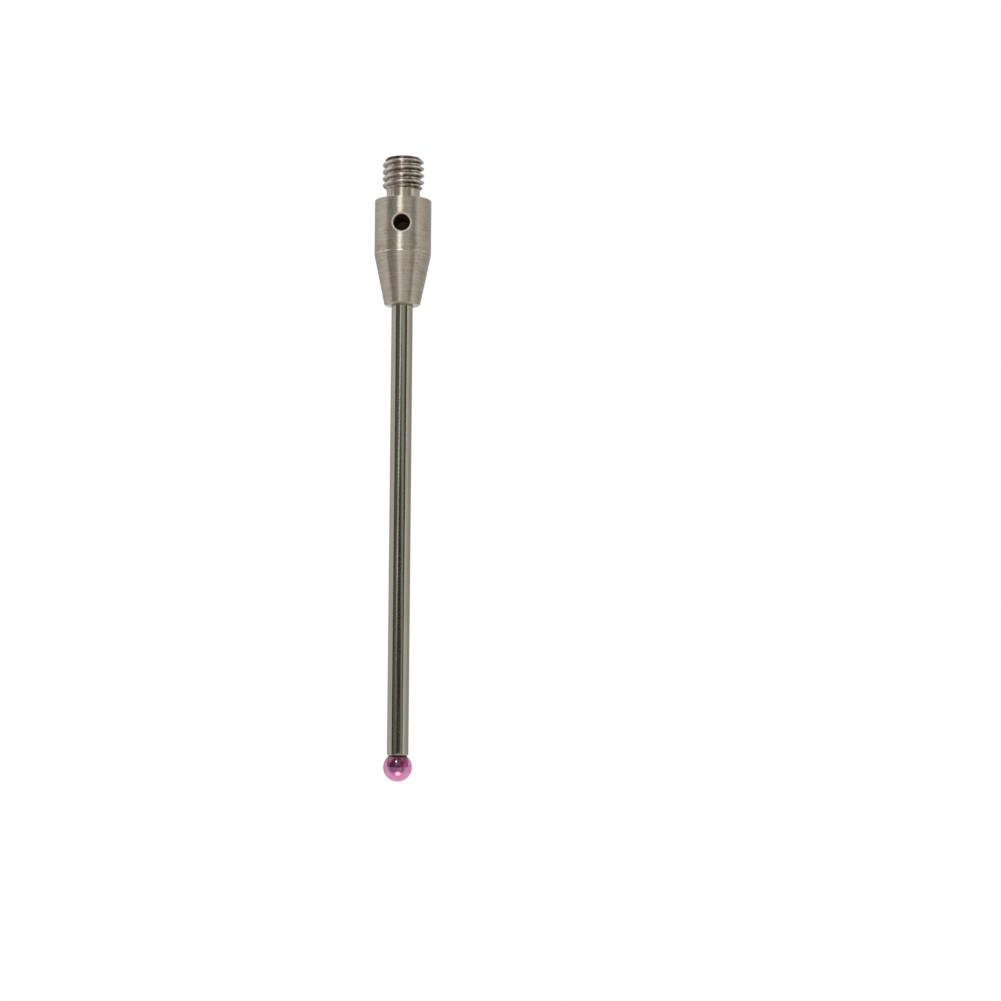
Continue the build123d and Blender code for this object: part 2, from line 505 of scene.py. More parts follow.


# %% [markdown]
# The ball is synthetic ruby, lapped until it is as round and as clear as a lens. Its colour isn't on the
# surface: light loses its green and some of its blue on the way through, so the thin rim is pink and the
# thick middle deep. Volume Absorption does just that. Growth lines from the furnace tint it very slightly.
#
# The wall of its hole is covered with a thin film of dark glue, and the bright spigot shines through. Seen
# through the ruby it is a deep magenta shape, darker and bluish at one spot. It gets its own finish.

# %% Lapped ruby and its glued wall
RUBY_SURFACE = "#fff0f8"
RUBY_GROWTH_LINE = "#ffe0ee"
RUBY_INSIDE = "#e084cb"
RUBY_DENSITY = 1.0 * PER_MM
RUBY_IOR = 1.77
RUBY_ROUGHNESS = 0.02
GROWTH_LINE = 0.25
GLUED_WALL = "#e45ca8"
GLUED_WALL_DEEP = "#8a2c66"
GLUE_CLOUD = 0.3
BLUISH_SPOT = "#3c1c70"
BLUISH_SPOT_AT = (-0.22, -0.36, -39.94)
BLUISH_SPOT_R = 0.26
WALL_METAL = 0.4
WALL_ROUGHNESS = 0.35


def lapped_ruby(tree, place):
    """Clear ruby that takes its colour from the depth that light crosses."""
    lines = add_node(tree, "TexNoise", {
        "Vector": place, "Scale": PER_MM / GROWTH_LINE, "Detail": 1.0, "Distortion": 0.8})
    colour = add_node(tree, "Mix", {0: lines, 6: RUBY_SURFACE, 7: RUBY_GROWTH_LINE}, data_type="RGBA")
    surface = add_node(tree, "BsdfPrincipled", {
        "Base Color": colour.outputs[2], "Roughness": RUBY_ROUGHNESS, "IOR": RUBY_IOR,
        "Transmission Weight": 1.0})
    inside = add_node(tree, "VolumeAbsorption", {"Color": RUBY_INSIDE, "Density": RUBY_DENSITY})
    return {"Surface": surface, "Volume": inside}


def glued_ruby_wall(tree, place):
    """The ruby's glued faces as they look from inside: a metal shine, dimmed and tinted by the glue."""
    cloud = add_node(tree, "TexNoise", {"Vector": place, "Scale": PER_MM / GLUE_CLOUD, "Detail": 2.0})
    patchy = add_node(tree, "MapRange", {0: cloud, 1: 0.4, 2: 0.62})
    colour = add_node(tree, "Mix", {0: patchy, 6: GLUED_WALL, 7: GLUED_WALL_DEEP}, data_type="RGBA")
    # A darker bluish spot at one fixed place on the wall.
    centre = tuple(value * MM for value in BLUISH_SPOT_AT)
    away = add_node(tree, "VectorMath", {0: place, 1: centre}, operation="DISTANCE")
    bluish_share = add_node(tree, "MapRange", {
        0: away.outputs["Value"], 1: BLUISH_SPOT_R * MM, 2: BLUISH_SPOT_R / 2 * MM, 3: 0.0, 4: 0.9})
    spotted = add_node(tree, "Mix", {0: bluish_share, 6: colour.outputs[2], 7: BLUISH_SPOT}, data_type="RGBA")
    surface = add_node(tree, "BsdfPrincipled", {
        "Base Color": spotted.outputs[2], "Metallic": WALL_METAL, "Roughness": WALL_ROUGHNESS})
    return {"Surface": surface}


# %% [markdown]
# Both glues are a cured epoxy, almost black and glossy, and slightly uneven where it was squeezed out.

# %% Cured epoxy
EPOXY = "#1a0d12"
EPOXY_THIN = "#2e1a20"
EPOXY_WAVE = 0.2
EPOXY_DEPTH = 0.02
EPOXY_STRENGTH = 0.4
EPOXY_ROUGHNESS = 0.25


def cured_epoxy(tree, place):
    """Near-black glossy epoxy with a gently uneven skin."""
    waves = add_node(tree, "TexNoise", {"Vector": place, "Scale": PER_MM / EPOXY_WAVE, "Detail": 1.0})
    colour = add_node(tree, "Mix", {0: waves, 6: EPOXY, 7: EPOXY_THIN}, data_type="RGBA")
    relief = add_node(tree, "Bump", {
        "Height": waves, "Strength": EPOXY_STRENGTH, "Distance": EPOXY_DEPTH * MM})
    surface = add_node(tree, "BsdfPrincipled", {
        "Base Color": colour.outputs[2], "Roughness": EPOXY_ROUGHNESS, "Normal": relief})
    return {"Surface": surface}


# %% Make the finishes
steel = make_material("turned_stainless_steel", turned_steel)
thread_steel = make_material("cut_thread_steel", cut_steel, THREAD_ROOT, THREAD_FILM)
neck_steel = make_material("cut_neck_steel", cut_steel, NECK_STEEL, NECK_FILM)
edge_highlight_steel = make_material("rubbed_edge_steel", rubbed_edge_and_highlight)
hole_steel = make_material("drilled_steel", drilled_steel)
carbide = make_material("ground_tungsten_carbide", ground_carbide)
ruby = make_material("lapped_ruby", lapped_ruby)
ruby_wall = make_material("glued_ruby_wall", glued_ruby_wall)
epoxy = make_material("cured_epoxy", cured_epoxy)
print("Finishes:", ", ".join(material.name for material in bpy.data.materials))

# %% [markdown]
# The hardest part of the holder is the thread. A true thread is a groove that climbs by one pitch each
# turn, so a plain turned grid would cut across it and fray its crests. Here the rows of the grid climb too:
# each row is a helix, and after a full turn it meets the row one pitch higher. Where a row would leave the
# stud it is held on the circle at that end, and merging the points closes it neatly.

# %% The thread as a surface of angle and height
HOLDER_COLUMNS = 192
STEPS_PER_PITCH = 32
GROOVE_ANGLE = 0.44
FLANK_SLOPE = 1 / math.tan(math.radians(30))


def soft_greater(a, b, reach):
    """The greater of two values, rounded where they come within reach of each other."""
    share = np.clip(0.5 + 0.5 * (a - b) / reach, 0, 1)
    return b + (a - b) * share + reach * share * (1 - share)


def thread_radius(angle, height):
    """The stud's radius at an angle and a height.

    The distance d along the axis from the groove's middle gives the flank: the pitch radius plus (d minus
    a quarter pitch) divided by the tangent of 30 degrees. Root and crest cut it off with rounded corners,
    and the neck's cone and the tip's chamfer cut off the rest.
    """
    phase = height - PITCH * (angle - GROOVE_ANGLE) / math.tau
    from_groove = np.abs((phase + PITCH / 2) % PITCH - PITCH / 2)
    flank = PITCH_R + (from_groove - PITCH / 4) * FLANK_SLOPE
    rooted = soft_greater(flank, ROOT_R, ROOT_ROUNDING)
    crested = -soft_greater(-rooted, -THREAD_R, CREST_ROUNDING)
    neck_cone = NECK_R + height - NECK_LENGTH
    tip_cone = THREAD_R - TIP_CHAMFER + TIP_Z - height
    return np.minimum(crested, np.minimum(neck_cone, tip_cone))


def thread_surface():
    """The threaded stud between its tip and its neck, on a grid whose rows climb one pitch each turn.

    At the tip every point lies on the rim of the flat end, so the groove runs out and the skin closes.
    """
    step = PITCH / STEPS_PER_PITCH
    rows = 2 * STEPS_PER_PITCH + math.ceil((TIP_Z - NECK_LENGTH) / step) + 1
    start = TIP_Z + PITCH - np.arange(rows)[:, None] * step
    angles = np.arange(HOLDER_COLUMNS)[None, :] * math.tau / HOLDER_COLUMNS
    heights = np.clip(start + PITCH * angles / math.tau, NECK_LENGTH, TIP_Z)
    radii = np.where(heights < TIP_Z, thread_radius(angles, heights), THREAD_R - TIP_CHAMFER)
    points = at(radii, angles, heights).reshape(-1, 3)

    i, j = np.meshgrid(np.arange(STEPS_PER_PITCH, rows - 1), np.arange(HOLDER_COLUMNS), indexing="ij")
    here = i * HOLDER_COLUMNS + j
    beside = np.where(j + 1 < HOLDER_COLUMNS, here + 1, (i - STEPS_PER_PITCH) * HOLDER_COLUMNS)
    faces = np.stack([here, here + HOLDER_COLUMNS, beside + HOLDER_COLUMNS, beside], axis=-1)
    return points, faces.reshape(-1, 4)


# %% [markdown]
# The cross hole sits in the round wall of the body. A square patch of that wall is left out and filled with
# rings that change step by step from the square to the hole's circle. More rings turn over the chamfer and
# go down the drilled wall to the drill's point.

# %% The body's band with the cross hole
HALF_PATCH = 14
PATCH_RINGS = 8
WALL_RINGS = 15
POINT_RINGS = 9
EDGE_ROUNDING = 0.015
PATCH_REACH = BODY_R * math.sin(HALF_PATCH * math.tau / HOLDER_COLUMNS)
BAND_TOP_Z = HOLE_Z + PATCH_REACH
BAND_LOW_Z = HOLE_Z - PATCH_REACH
band_heights = np.linspace(BAND_TOP_Z, BAND_LOW_Z, 2 * HALF_PATCH + 1)


def wall_beside_hole():
    """The band of the body's wall that goes round from one side of the patch to the other."""
    columns = np.arange(HALF_PATCH, HOLDER_COLUMNS - HALF_PATCH + 1)
    angles = columns[None, :] * math.tau / HOLDER_COLUMNS
    return grid_surface(at(BODY_R, angles, band_heights[:, None]), False)


def on_body(x):
    """The y of the body's front wall at an x: minus the root of radius squared minus x squared."""
    return -np.sqrt(BODY_R**2 - x**2)


def patch_round_hole():
    """Rings from the patch's square rim to the hole's chamfer, and the angle of each place on them."""
    across = BODY_R * np.sin(np.arange(-HALF_PATCH, HALF_PATCH) * math.tau / HOLDER_COLUMNS)
    down = band_heights[:-1] - HOLE_Z
    side = np.full(2 * HALF_PATCH, PATCH_REACH)
    rim_x = np.concatenate([across, side, -across, -side])
    rim_z = np.concatenate([side, down, -side, -down])
    turn = np.arctan2(rim_z, rim_x)

    share = np.linspace(0, 1, PATCH_RINGS + 1)[:, None]
    outer = HOLE_R + HOLE_EDGE + EDGE_ROUNDING
    x = rim_x + (outer * np.cos(turn) - rim_x) * share
    z = rim_z + (outer * np.sin(turn) - rim_z) * share
    return np.stack([x, on_body(x), z + HOLE_Z], axis=-1), turn


def hole_lip(turn, sections):
    """Rings that follow sections of (distance from the hole's wall, depth under the body's surface)."""
    out, depth = sections[:, :1], sections[:, 1:]
    x = (HOLE_R + out) * np.cos(turn)
    z = (HOLE_R + out) * np.sin(turn)
    return np.stack([x, on_body(x) + depth, z + HOLE_Z], axis=-1)


def hole_inside(turn, mouth, shoulder_y):
    """Rings from the mouth straight to the drill's shoulder, and from there down its point to one place.

    On the point, a share s of the way in, the radius is the hole's times (1 - s).
    """
    share = np.linspace(0, 1, WALL_RINGS)[:, None]
    x = HOLE_R * np.cos(turn) + 0 * share
    z = HOLE_R * np.sin(turn) + 0 * share
    wall = np.stack([x, mouth[:, 1] * (1 - share) + shoulder_y * share, z + HOLE_Z], axis=-1)

    share = np.linspace(0, 1, POINT_RINGS)[1:, None]
    x = HOLE_R * (1 - share) * np.cos(turn)
    z = HOLE_R * (1 - share) * np.sin(turn)
    point_y = shoulder_y + HOLE_R / math.tan(DRILL_POINT_ANGLE / 2) * share
    point = np.stack([x, point_y + 0 * x, z + HOLE_Z], axis=-1)
    return np.concatenate([wall, point])


# %% [markdown]
# Where the straight body ends and the cone begins, the tool paused and left a hair-fine groove. It is only
# 0.025 mm deep, but it draws a crisp light line round the holder.

# %% Build the holder
EDGE = 0.012
BORE_EDGE = 0.01
NECK_FILLET = 0.06
SEAT_START_R = NECK_R + 0.1
GROOVE_DEPTH = 0.025
GROOVE_TOP = 0.085
GROOVE_FOOT = 0.06
cone_slope = (BODY_R - CONE_END_R) / (CONE_TOP_Z - HOLDER_END_Z)
bore_full_z = BORE_POINT_Z - BORE_R / math.tan(DRILL_POINT_ANGLE / 2)
hole_shoulder_y = BODY_R - HOLE_BACK_WALL - HOLE_R / math.tan(DRILL_POINT_ANGLE / 2)

tip_outline = rounded([(0, TIP_Z, 0), (THREAD_R - TIP_CHAMFER, TIP_Z, 0)])
neck_outline = rounded([
    (NECK_R, NECK_LENGTH, 0),
    (NECK_R, 0, NECK_FILLET),
    (SEAT_START_R, 0, 0),
])
seat_outline = rounded([
    (SEAT_START_R, 0, 0),
    (BODY_R - SEAT_EDGE, 0, EDGE),
    (BODY_R, -SEAT_EDGE, EDGE),
    (BODY_R, BAND_TOP_Z, 0),
])
body_outline = rounded([(BODY_R, BAND_LOW_Z, 0), (BODY_R, CONE_TOP_Z + GROOVE_TOP, 0)])
groove_outline = rounded([
    (BODY_R, CONE_TOP_Z + GROOVE_TOP, 0),
    (BODY_R - GROOVE_DEPTH, CONE_TOP_Z + GROOVE_FOOT, 0),
    (BODY_R, CONE_TOP_Z, 0),
])
cone_outline = rounded([
    (BODY_R, CONE_TOP_Z, 0),
    (CONE_END_R + cone_slope * CONE_EDGE, HOLDER_END_Z + CONE_EDGE, EDGE),
    (CONE_END_R - CONE_EDGE, HOLDER_END_Z, EDGE),
    (BORE_R, HOLDER_END_Z, BORE_EDGE),
    (BORE_R, bore_full_z, 0),
    (0, BORE_POINT_Z, 0),
])
chamfer_outline = rounded([
    (HOLE_EDGE + EDGE_ROUNDING, 0, 0),
    (HOLE_EDGE, 0, EDGE_ROUNDING),
    (0, HOLE_EDGE, 0),
])

patch, turn = patch_round_hole()
lip = hole_lip(turn, chamfer_outline)
inside = hole_inside(turn, lip[-1], hole_shoulder_y)
holder = make_piece(
    "holder_turned",
    [
        (*turned(tip_outline, HOLDER_COLUMNS), 0),
        (*thread_surface(), 1),
        (*turned(neck_outline, HOLDER_COLUMNS), 4),
        (*turned(seat_outline, HOLDER_COLUMNS), 0),
        (*wall_beside_hole(), 0),
        (*grid_surface(patch, True), 0),
        (*grid_surface(lip, True), 3),
        (*grid_surface(inside, True), 2),
        (*turned(body_outline, HOLDER_COLUMNS), 0),
        (*turned(groove_outline, HOLDER_COLUMNS), 4),
        (*turned(cone_outline, HOLDER_COLUMNS), 0),
    ],
    [steel, thread_steel, hole_steel, edge_highlight_steel, neck_steel],
)
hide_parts("holder")
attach(holder, "root")

# %% [markdown]
# The stem is one outline: a small lead chamfer inside the holder, the long ground shank, a narrow edge, a
# shoulder that is cupped to follow the ball, and the thin spigot that goes into it.

# %% Build the stem
STEM_COLUMNS = 128
STEM_EDGE_ROUNDING = 0.1
shoulder_rim_r = STEM_R - STEM_END_EDGE
shoulder_rim_z = BALL_Z + math.sqrt(BALL_R**2 - shoulder_rim_r**2) + SHOULDER_RIM_GAP

stem_outline = rounded([
    (0, STEM_TOP_Z, 0),
    (STEM_R - STEM_LEAD, STEM_TOP_Z, EDGE),
    (STEM_R, STEM_TOP_Z - STEM_LEAD, EDGE),
    (STEM_R, shoulder_rim_z + STEM_END_EDGE, STEM_EDGE_ROUNDING),
    (shoulder_rim_r, shoulder_rim_z, EDGE),
    (SPIGOT_R, SHOULDER_Z, 0),
    (SPIGOT_R, SPIGOT_END_Z + SPIGOT_EDGE, 0),
    (SPIGOT_R - SPIGOT_EDGE, SPIGOT_END_Z, 0),
    (0, SPIGOT_END_Z, 0),
])
stem = make_piece("stem_ground", [(*turned(stem_outline, STEM_COLUMNS), 0)], [carbide])
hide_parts("stem")
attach(stem, "root")

# %% [markdown]
# The ball's outline starts in the middle of its hole's floor, goes up the hole's wall, turns over the rim
# and follows the sphere to the lowest point. The faces under the glue get the glued finish, and where the
# collar is thick, at the rim of its seat, plain epoxy. The others get the ruby.

# %% Build the ball
BALL_COLUMNS = 128
SPHERE_ROWS = 96
SEAT_ROWS = 9
THIN_ROWS = 3
hole_turn = math.asin(BALL_HOLE_R / BALL_R)
collar_turn = math.asin(COLLAR_R / BALL_R)


def on_sphere(first, last, rows):
    """Points down the ball's outline, between two angles from its top.

    At the angle t, the radius is the ball's times sine t, and the height is its middle's plus the ball's
    radius times cosine t.
    """
    t = np.linspace(first, last, rows)
    return np.stack([BALL_R * np.sin(t), BALL_Z + BALL_R * np.cos(t)], axis=-1)


rim_z = BALL_Z + math.sqrt(BALL_R**2 - BALL_HOLE_R**2)
collar_foot_z = BALL_Z + math.sqrt(BALL_R**2 - COLLAR_R**2)
hole_outline = rounded([
    (0, collar_low[2], 0),
    (BALL_HOLE_R, collar_low[2], EDGE),
    (BALL_HOLE_R, rim_z, 0),
])
collar_seat = on_sphere(hole_turn, collar_turn, SEAT_ROWS)
ball = make_piece(
    "ball_lapped",
    [
        (*turned(hole_outline, BALL_COLUMNS), 1),
        (*turned(collar_seat[:THIN_ROWS], BALL_COLUMNS), 1),
        (*turned(collar_seat[THIN_ROWS - 1 :], BALL_COLUMNS), 2),
        (*turned(on_sphere(collar_turn, math.pi, SPHERE_ROWS), BALL_COLUMNS), 0),
    ],
    [ruby, ruby_wall, epoxy],
)
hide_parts("ball")
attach(ball, "root")

# %% [markdown]
# The glue fills the hole round the spigot and the narrow gap between the cupped shoulder and the ball.
# Surface tension draws its rim in a little. It is kept a hair's breadth off its neighbours, so that no two
# surfaces lie in one place and flicker.

# %% Build the glue collar
HAIR = 0.003
WAIST = 0.02
WAIST_ROWS = 12
cup_share = (COLLAR_R - SPIGOT_R) / (shoulder_rim_r - SPIGOT_R)
collar_top_z = SHOULDER_Z + (shoulder_rim_z - SHOULDER_Z) * cup_share


def collar_waist():
    """The collar's outer face, from the shoulder down to the ball: its radius dips by WAIST times sine."""
    share = np.linspace(0, 1, WAIST_ROWS)
    top = collar_top_z - HAIR
    foot = collar_foot_z + HAIR
    return np.stack([COLLAR_R - WAIST * np.sin(math.pi * share), top + (foot - top) * share], axis=-1)


glue_outline = np.concatenate([
    [(0, SPIGOT_END_Z - HAIR), (SPIGOT_R - SPIGOT_EDGE, SPIGOT_END_Z - HAIR)],
    [(SPIGOT_R + HAIR, SPIGOT_END_Z + SPIGOT_EDGE), (SPIGOT_R + HAIR, SHOULDER_Z - HAIR)],
    collar_waist(),
    (collar_seat[::-1] - [0, BALL_Z]) * (1 + HAIR / BALL_R) + [0, BALL_Z],
    [(BALL_HOLE_R - HAIR, rim_z), (BALL_HOLE_R - HAIR, collar_low[2] + HAIR), (0, collar_low[2] + HAIR)],
])
collar = make_piece("glue_collar", [(*turned(glue_outline, STEM_COLUMNS), 0)], [epoxy])
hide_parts("ball_adhesive")
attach(collar, "root")

# %% [markdown]
# The glue in the holder's bore shows only as a thin dark ring where the stem comes out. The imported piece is
# right for that, so it stays and only takes the epoxy finish.

# %% Give the bore's glue its finish
bore_glue = frame["nodes"]["stem_adhesive"]
bore_glue.data.materials.clear()
bore_glue.data.materials.append(epoxy)
print("bore glue ring:", round(BORE_R - STEM_R, 3), "mm wide")

# %% [markdown]
# The camera stands where the photograph was taken from. Perspective tells how far that is: the seat is seen
# from about 13 degrees below and the ball nearly level, so the lens was level with the ball and about 186
# mm away. It looked up and to the right of the stylus, and was tilted a third of a degree, so the stylus
# stands left of the middle and leans a little.

# %% Place the camera
CAMERA_DISTANCE = 186.0
CAMERA_ROUND = math.radians(3.3)
CAMERA_Z = -41.6
AIM_RIGHT = 7.04
AIM_Z = -21.3
CAMERA_ROLL = math.radians(0.35)
LENS_LENGTH = 95.82
NEAREST_SEEN = 10.0
FARTHEST_SEEN = 20000.0

towards_camera = np.array([math.sin(CAMERA_ROUND), -math.cos(CAMERA_ROUND), 0])
to_the_right = np.array([math.cos(CAMERA_ROUND), math.sin(CAMERA_ROUND), 0])
eye = towards_camera * CAMERA_DISTANCE + [0, 0, CAMERA_Z]
aim = to_the_right * AIM_RIGHT + [0, 0, AIM_Z]

camera_data = bpy.data.cameras.new("photo_camera")
camera = add_object("photo_camera", camera_data)
scene.camera = camera
camera_data.lens = LENS_LENGTH
camera_data.clip_start = NEAREST_SEEN * MM
camera_data.clip_end = FARTHEST_SEEN * MM

look = Vector(aim - eye).to_track_quat("-Z", "Y").to_matrix()
rolled = look @ Matrix.Rotation(CAMERA_ROLL, 3, "Z")
camera.matrix_world = Matrix.Translation(Vector(eye) * MM) @ rolled.to_4x4()
print("camera at", eye.round(1), "mm, looking at", aim.round(1))

# %% Check where the ends fall in the picture
PICTURE = 1001


def in_picture(x, y, z):
    """The pixel of a point in mm: sideways and down over depth, times lens over sensor, times the width."""
    seen = camera.matrix_world.inverted() @ (Vector((x, y, z)) * MM)
    scale = camera_data.lens / camera_data.sensor_width * PICTURE
    return PICTURE / 2 - seen.x / seen.z * scale, PICTURE / 2 + seen.y / seen.z * scale


for what, height in (("stud tip", TIP_Z), ("seat", 0), ("cone end", HOLDER_END_Z), ("ball", BALL_Z)):
    print(what, "in the picture at", [round(v, 1) for v in in_picture(0, 0, height)])

# %% [markdown]
# Metal shows its surroundings more than itself, so the studio is part of its finish. The stylus stands
# before white paper, in a light tent: a ball of white cloth 3 m across that is open at the back, with
# bright side walls and a dark front, where the photographer stands. The bands on the polished stem tell how
# bright it is in each direction. So the tent is one level for each direction, by side angle and height in
# degrees. Side angle 0 is -Y, towards the photographer, +X is at 90, and height 0 is level with the seat.
#
# Seven patches are plain: a level between two side angles and two heights. Four parts have a form of their
# own. The two side walls are brighter near the top and fade towards the back, which rounds the metal off.
# The bright line in front becomes the line down the body, and the strip on the right becomes the second,
# paler line. Where parts overlap, the brightest counts.

# %% The tent's brightness in every direction
SOFT_EDGE = 2.0
ALL_ROUND = 999.0
TENT_DARK = 0.03

# Each patch's level, its side angles from and to with their soft edge, and its heights in the same way
TENT_PATCHES = [
    (0.14, (-55, -12, 5), (-ALL_ROUND, ALL_ROUND)),
    (0.17, (26, 44, 4), (-ALL_ROUND, ALL_ROUND)),
    (0.45, (-8, 36, 6), (9, 60)),
    (1.30, (-22, 2, 4), (30, 88, 6)),
    (0.95, (0, 42, 6), (-30, -6)),
    (0.42, (-42, 0, 6), (-30, -6)),
    (0.60, (-28, 28, 8), (-70, -16, 6)),
]

# The other parts: levels and how they change, then where they are, from which angle they change and how long
TENT_TOP = (35, 88, 6)
LEFT_LEVEL, LEFT_TOP, LEFT_FADE = 0.68, 0.5, 0.006
LEFT_WALL, LEFT_FROM, LEFT_SPAN = (-190, -66.5), -110, 60
RIGHT_LEVEL, RIGHT_TOP, RIGHT_FADE = 0.78, 0.1, 0.0065
RIGHT_WALL, RIGHT_FROM, RIGHT_SPAN = (59, 193), 62, 50
RIGHT_STEP = 3
LINE_LEVEL, LINE_LOSS, LINE_LEFT, LINE_RIGHT, LINE_WIDER = 1.4, 0.5, -14, -6, 5
LINE_HEIGHTS, WIDE_HEIGHTS = (2.4, 55), (11, 60, 1.5)
LINE_SLANT, SLANT_BELOW, SLANT_SPAN = 2.4, 9.6, 8
STRIP_LEVEL, STRIP_GAIN, STRIP_GAIN_SPAN = 0.30, 0.025, 7
STRIP_SIDES, STRIP_HEIGHTS, STRIP_SLANT, STRIP_SLANT_SPAN = (30, 52, 3), (-25, 50), 2.7, 12


def between(value, low, high, soft=SOFT_EDGE):
    """1 between two limits and 0 outside them, with edges that follow 3 t squared minus 2 t cubed."""
    rise = np.clip((value - low + soft) / (2 * soft), 0, 1)
    fall = np.clip((high - value + soft) / (2 * soft), 0, 1)
    return rise**2 * (3 - 2 * rise) * fall**2 * (3 - 2 * fall)


def side_walls(side, up):
    """Left and right wall: a level, more at the top, less by a share of each degree towards the back."""
    top = between(up, *TENT_TOP)
    left = LEFT_LEVEL + LEFT_TOP * top - LEFT_FADE * np.clip(LEFT_FROM - side, 0, LEFT_SPAN)
    right = RIGHT_LEVEL + RIGHT_TOP * top - RIGHT_FADE * np.clip(side - RIGHT_FROM, 0, RIGHT_SPAN)
    lower = RIGHT_STEP * between(up, -90, 6)
    return [left * between(side, *LEFT_WALL), right * between(side + lower, *RIGHT_WALL)]


def bright_line(side, up):
    """The line in front. Low down it slants to the left, and high up it is wider and less bright."""
    across = side + LINE_SLANT * np.clip(SLANT_BELOW - up, 0, SLANT_SPAN)
    wide = between(up, *WIDE_HEIGHTS)
    inside = between(across, LINE_LEFT - LINE_WIDER * wide, LINE_RIGHT + LINE_WIDER * wide)
    return (LINE_LEVEL - LINE_LOSS * wide) * inside * between(up, *LINE_HEIGHTS)


def right_strip(side, up):
    """The strip beside the right wall. Just over the seat's height it slants and brightens."""
    across = side + STRIP_SLANT * np.clip(up, 0, STRIP_SLANT_SPAN)
    level = STRIP_LEVEL + STRIP_GAIN * np.clip(up, 0, STRIP_GAIN_SPAN)
    return level * between(across, *STRIP_SIDES) * between(up, *STRIP_HEIGHTS)


def tent_level(side, up):
    """The brightness of the tent at a side angle and a height in degrees: the brightest of its parts."""
    patches = [level * between(side, *sides) * between(up, *ups) for level, sides, ups in TENT_PATCHES]
    own_forms = [*side_walls(side, up), bright_line(side, up), right_strip(side, up)]
    return np.max([TENT_DARK + 0 * side, *patches, *own_forms], axis=0)


# %% Build the light tent
TENT_R = 1500.0
TENT_OPEN = 150.0
TENT_ROWS = 181
TENT_COLUMNS = 601
FLAG_END = 172.0
FLAG_COLUMNS = 45
WARM_LIGHT = "#fffab0"
WARM_BEGINS = 1.4
WARM_FULL = 2.6

tent_cloth, cloth_tree = new_material("tent_cloth")
level = add_node(cloth_tree, "Attribute", attribute_name="level")
warmth = add_node(cloth_tree, "MapRange", {0: level.outputs["Fac"], 1: WARM_BEGINS, 2: WARM_FULL})
light_colour = add_node(cloth_tree, "Mix", {0: warmth, 6: "#ffffff", 7: WARM_LIGHT}, data_type="RGBA")
shine = add_node(cloth_tree, "Emission", {
    "Color": light_colour.outputs[2], "Strength": level.outputs["Fac"]})
add_node(cloth_tree, "OutputMaterial", {"Surface": shine})
tent_cloth.cycles.emission_sampling = "NONE"


def tent_part(name, sides, ups, levels_at):
    """A part of the tent over these side angles and heights, with one brightness for each point."""
    side, up = np.meshgrid(sides, ups)
    grid = at(TENT_R * np.cos(np.radians(up)), np.radians(side), TENT_R * np.sin(np.radians(up)))
    points, faces = grid_surface(grid, False)
    mesh = bpy.data.meshes.new(name)
    mesh.from_pydata((points * MM).tolist(), [], faces.tolist())
    values = levels_at(side, up)
    levels = mesh.attributes.new("level", "FLOAT", "POINT")
    levels.data.foreach_set("value", values.astype(np.float32).ravel())
    mesh.materials.append(tent_cloth)
    part = add_object(name, mesh)
    part.visible_camera = False
    part.visible_diffuse = False
    part.visible_shadow = False
    print(name, "levels", np.round([values.min(), values.max()], 2))
    return part


whole_height = np.linspace(90, -90, TENT_ROWS)
tent_sides = np.linspace(-TENT_OPEN, TENT_OPEN, TENT_COLUMNS)
flag_sides = np.linspace(TENT_OPEN, FLAG_END, FLAG_COLUMNS)
for name, sides in (
    ("light_tent", tent_sides), ("left_flag", -flag_sides[::-1]), ("right_flag", flag_sides),
):
    cloth = tent_part(name, sides, whole_height, tent_level)
    cloth.visible_transmission = False

# %% [markdown]
# The ruby gathers light from nearly everywhere, and for that two simple cards do: a dark one in front, and
# one behind, which the ball turns upside down. On that, a bright spot becomes the warm glow near the ball's
# lower end, and a grey patch under it becomes the darker belt over the glow. Only light that has gone
# through the ruby meets the cards.

# %% Put up the ruby's two cards
FRONT_CARD = 55.0
FRONT_CARD_UP = 75.0
FRONT_LEVEL = 0.05
FRONT_COLUMNS, FRONT_ROWS = 23, 31
GLOW_SIDE = 185.0
GLOW_UP = 23.5
GLOW_WIDTH = 14.0
GLOW_HEIGHT = 10.5
GLOW_LEVEL = 5.0
BELT_UP = 6.0
BELT_WIDTH = 42.0
BELT_HEIGHT = 18.0
BELT_LEVEL = 0.37
BELT_FIRMNESS = 2.5
GLOW_FIRMNESS = 1.25
BACK = 180.0
BACK_CARD = 48.0
BACK_CARD_LOW = -14.0
BACK_CARD_HIGH = 36.0
BACK_COLUMNS, BACK_ROWS = 97, 73


def back_level(side, up):
    """Plain white, which is 1, with a grey ellipse and over that a smaller bright one.

    The share of an ellipse is its firmness times (1 minus the distance from its middle, in half widths and
    half heights), kept between 0 and 1.
    """
    from_belt = np.hypot((side - BACK) / BELT_WIDTH, (up - BELT_UP) / BELT_HEIGHT)
    from_glow = np.hypot((side - GLOW_SIDE) / GLOW_WIDTH, (up - GLOW_UP) / GLOW_HEIGHT)
    belt = np.clip(BELT_FIRMNESS * (1 - from_belt), 0, 1)
    glow = np.clip(GLOW_FIRMNESS * (1 - from_glow), 0, 1)
    return (1 + (BELT_LEVEL - 1) * belt) * (1 - glow) + GLOW_LEVEL * glow


front_card = tent_part(
    "front_card", np.linspace(-FRONT_CARD, FRONT_CARD, FRONT_COLUMNS),
    np.linspace(FRONT_CARD_UP, -FRONT_CARD_UP, FRONT_ROWS), lambda side, up: FRONT_LEVEL + 0 * side)
back_card = tent_part(
    "back_card", BACK + BACK_CARD * np.linspace(-1, 1, BACK_COLUMNS),
    np.linspace(BACK_CARD_HIGH, BACK_CARD_LOW, BACK_ROWS), back_level)
for card in (front_card, back_card):
    card.visible_glossy = False

# %% [markdown]
# The tent is there for reflections only, and the two cards for the ruby only. All are hidden from the
# camera and cast no shadow. The two flags at the tent's back edge dim the rims of the metal. Behind it all
# is plain white for the camera, for reflections and through the ruby, and a soft even light for everything
# else.

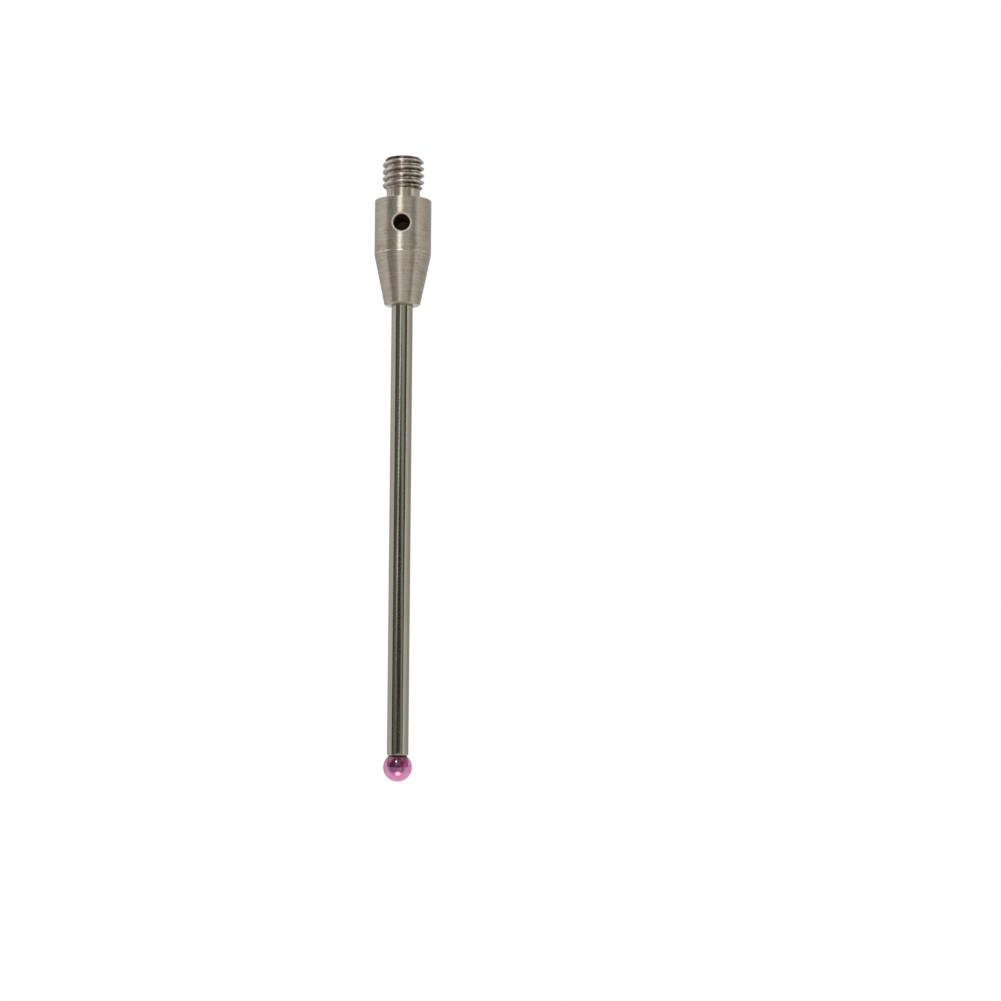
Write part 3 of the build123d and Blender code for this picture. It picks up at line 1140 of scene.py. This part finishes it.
# %% White paper all round, and an even light
STUDIO_LIGHT = 0.68


def in_view(tree):
    """1 for rays from the camera, from a reflection or through the ruby, and 0 for light alone."""
    path = add_node(tree, "LightPath")
    shown = path.outputs["Is Camera Ray"]
    for kind in ("Is Glossy Ray", "Is Transmission Ray"):
        shown = add_node(tree, "Math", {0: shown, 1: path.outputs[kind]}, operation="MAXIMUM")
    return shown


world = bpy.data.worlds.new("studio")
scene.world = world
world.use_nodes = True
sky = world.node_tree
sky.nodes.clear()
strength = add_node(sky, "MapRange", {0: in_view(sky), 3: STUDIO_LIGHT, 4: 1.0})
backdrop = add_node(sky, "Background", {"Color": "#ffffff", "Strength": strength})
add_node(sky, "OutputWorld", {"Surface": backdrop})
print("backdrop 1.0 in view,", STUDIO_LIGHT, "as light")

# %% [markdown]
# One round lamp stands in front, a little to the left and well above the lens, just inside the tent. It
# adds to the bright line down the body, draws the white spot on the ball, and throws the shadow.

# %% Hang the key lamp
LAMP_ROUND = math.radians(-12)
LAMP_UP = math.radians(43)
LAMP_DISTANCE = 1300.0
LAMP_ACROSS = 250.0
LAMP_WATTS = 5.2

lamp_data = bpy.data.lights.new("key_lamp", "AREA")
lamp_data.shape = "DISK"
lamp_data.size = LAMP_ACROSS * MM
lamp_data.energy = LAMP_WATTS
lamp = add_object("key_lamp", lamp_data)
to_lamp = at(math.cos(LAMP_UP), LAMP_ROUND, math.sin(LAMP_UP))
lamp.location = to_lamp * LAMP_DISTANCE * MM
lamp.rotation_euler = Vector(-to_lamp).to_track_quat("-Z", "Y").to_euler()
lamp.visible_camera = False
print("lamp at", [round(v, 2) for v in lamp.location], "m,", LAMP_WATTS, "W")

# %% [markdown]
# The floor is a pale disc of matt paper under the hanging stylus and behind it, where its shadow falls. A
# little light of its own, for the camera, reflections and the ruby only, lifts it to the white of the
# background, so that no edge shows. Seen from underneath it is left clear.

# %% Lay the floor
FLOOR_Z = -75.0
FLOOR_R = 80.0
FLOOR_BACK = 66.0
FLOOR_COLUMNS = 96
FLOOR_COLOUR = "#f4f4f2"
FLOOR_LIFT = 0.14

floor_material, floor_tree = new_material("matt_paper")
lift = add_node(floor_tree, "Math", {0: in_view(floor_tree), 1: FLOOR_LIFT}, operation="MULTIPLY")
matt = add_node(floor_tree, "BsdfDiffuse", {"Color": FLOOR_COLOUR})
glow = add_node(floor_tree, "Emission", {"Color": "#ffffff", "Strength": lift})
both = add_node(floor_tree, "AddShader", {0: matt, 1: glow})
nothing = add_node(floor_tree, "BsdfTransparent")
under = add_node(floor_tree, "NewGeometry")
one_sided = add_node(floor_tree, "MixShader", {0: under.outputs["Backfacing"], 1: both, 2: nothing})
add_node(floor_tree, "OutputMaterial", {"Surface": one_sided})

floor_outline = np.array([(0, FLOOR_Z), (FLOOR_R, FLOOR_Z)], float)
floor_points, floor_faces = turned(floor_outline, FLOOR_COLUMNS)
floor = make_piece("floor", [(floor_points + [0, FLOOR_BACK, 0], floor_faces, 0)], [floor_material])

# %% [markdown]
# Last, the picture's colours are left as they are.

scene.view_settings.view_transform = "Standard"
bpy.context.view_layer.update()
